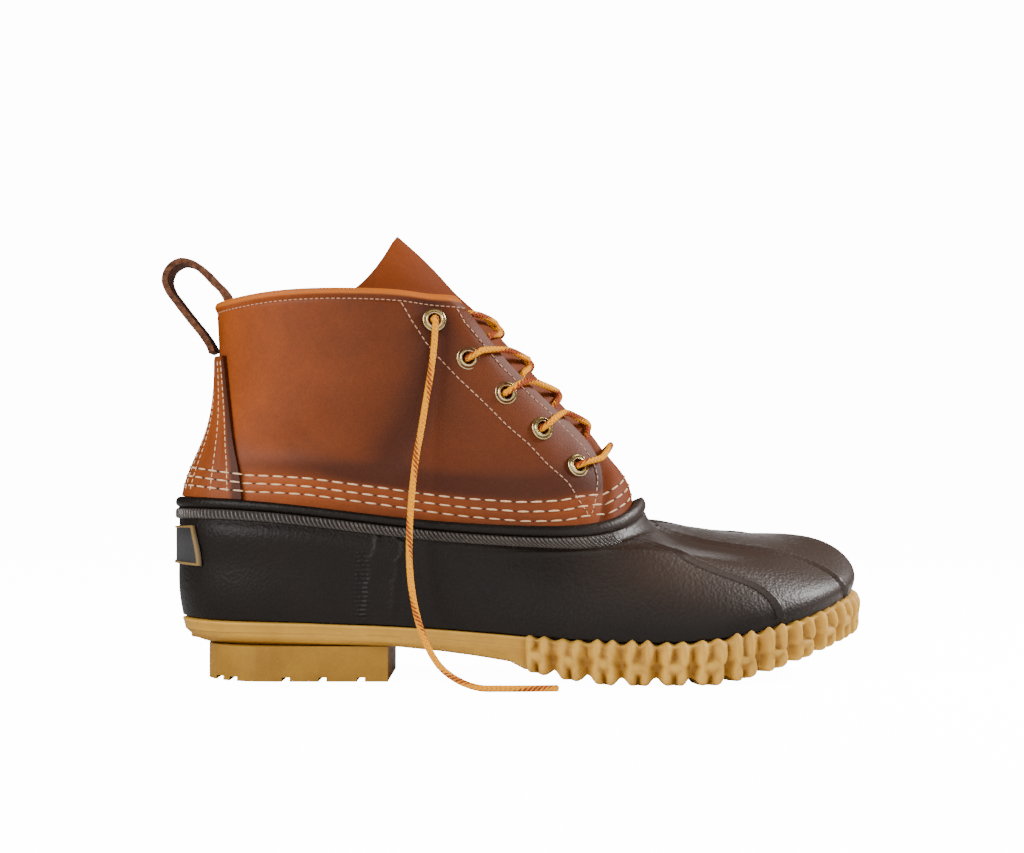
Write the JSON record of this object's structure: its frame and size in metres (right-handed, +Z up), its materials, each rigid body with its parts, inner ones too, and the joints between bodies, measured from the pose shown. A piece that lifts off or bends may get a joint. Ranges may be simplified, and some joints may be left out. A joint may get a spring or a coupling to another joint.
{
  "type": "duck_boot",
  "caption": "Duck boot, right foot: tan leather upper with lace eyelets on a dark brown rubber bottom with gum chain-tread sole",
  "frame": {"origin": "centre of the heel's flat underside on the floor", "axes": "+X toward the toe, +Y toward the inner (medial) side of the foot, +Z up"},
  "size_m": [0.3123, 0.1271, 0.1952],
  "materials": {
    "gum_rubber": "matte",
    "brown_rubber": "satin",
    "tan_leather": "satin",
    "loop_leather": "matte",
    "insole_felt": "matte",
    "brass": "satin",
    "lace_cord": "matte",
    "plate_black": "satin"
  },
  "bodies": {
    "root": {"outsole": "gum_rubber", "heel": "gum_rubber", "rubber_bottom": "brown_rubber", "insole": "insole_felt", "leather_upper": "tan_leather", "tongue": "tan_leather", "backstay": "tan_leather", "pull_loop": "loop_leather", "heel_plate": "plate_black", "eyelet_out_1": "brass", "eyelet_out_2": "brass", "eyelet_out_3": "brass", "eyelet_out_4": "brass", "eyelet_out_5": "brass", "eyelet_in_1": "brass", "eyelet_in_2": "brass", "eyelet_in_3": "brass", "eyelet_in_4": "brass", "eyelet_in_5": "brass", "lacing": "lace_cord", "lace_end": "lace_cord"}
  },
  "joints": []
}
